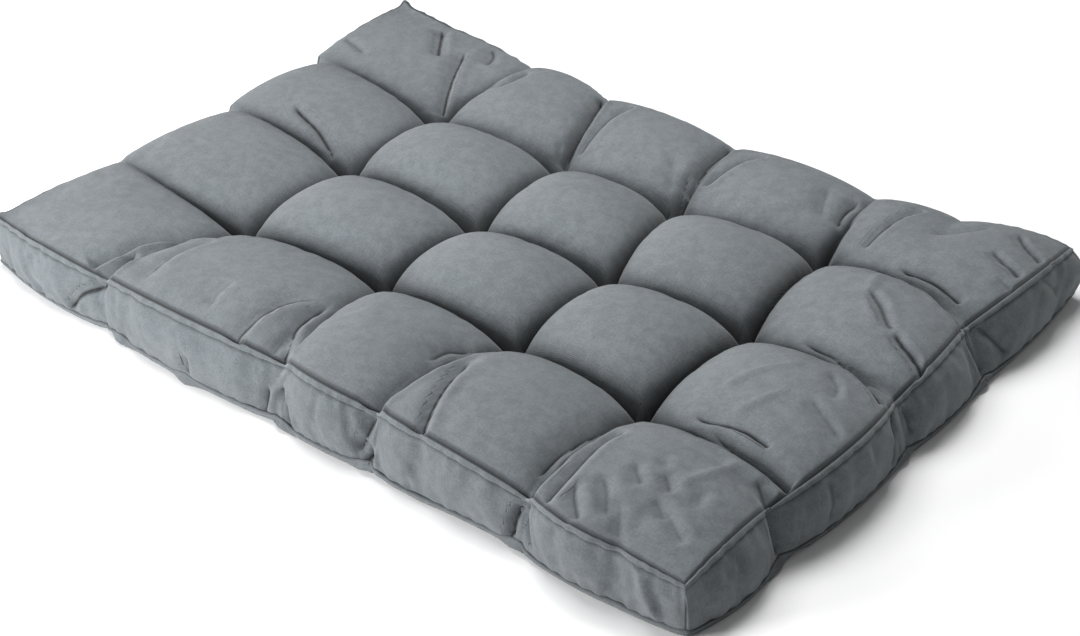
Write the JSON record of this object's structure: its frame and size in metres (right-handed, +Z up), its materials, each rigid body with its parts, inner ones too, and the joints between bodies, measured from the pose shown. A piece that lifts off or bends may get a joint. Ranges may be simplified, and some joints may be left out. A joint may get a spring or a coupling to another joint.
{
  "type": "pallet cushion",
  "caption": "Flat filled seat cushion with a deeply tufted face, puckered boxed sides and narrow self-fabric welts along both seams.",
  "frame": {"origin": "on the floor under the middle of the cushion's box", "axes": "+X along the long side to the right seen from the front, +Y from the front side to the back side, +Z up out of the tufted face"},
  "size_m": [1.2418, 0.8492, 0.1116],
  "materials": {
    "cover_cloth": "matt plain weave, slate grey",
    "welt_cloth": "matt plain weave, slate grey"
  },
  "bodies": {
    "root": {"cushion": "cover_cloth", "welt_top": "welt_cloth", "welt_bottom": "welt_cloth"}
  },
  "joints": []
}
